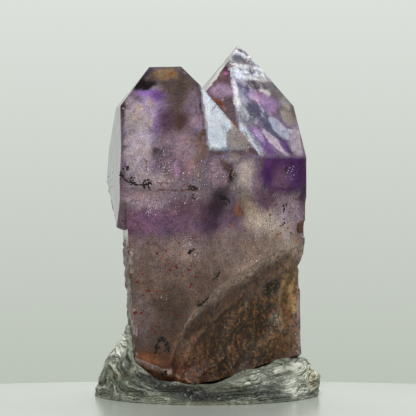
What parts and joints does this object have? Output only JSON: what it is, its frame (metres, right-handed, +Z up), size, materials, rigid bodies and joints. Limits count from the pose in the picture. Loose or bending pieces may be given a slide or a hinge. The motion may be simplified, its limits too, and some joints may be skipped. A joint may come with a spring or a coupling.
{
  "type": "amethyst scepter crystal on a putty base",
  "caption": "Twin-pointed amethyst head grown over a narrower broken quartz stem, standing upright in a lump of putty with a flat underside.",
  "frame": {"origin": "on the ground under the middle of the specimen's bounding box", "axes": "+Z up along the crystal's length, -Y towards the front with the edge between its two front prism faces, +X to the right of that view"},
  "size_m": [0.0428, 0.0421, 0.0662],
  "materials": {
    "amethyst": "clear to hazy quartz with purple zones, iron-stained breaks, glassy lustre",
    "putty": "kneaded putty, satin with bright ridges"
  },
  "bodies": {
    "root": {"amethyst_crystal": "amethyst", "putty_base": "putty"}
  },
  "joints": []
}
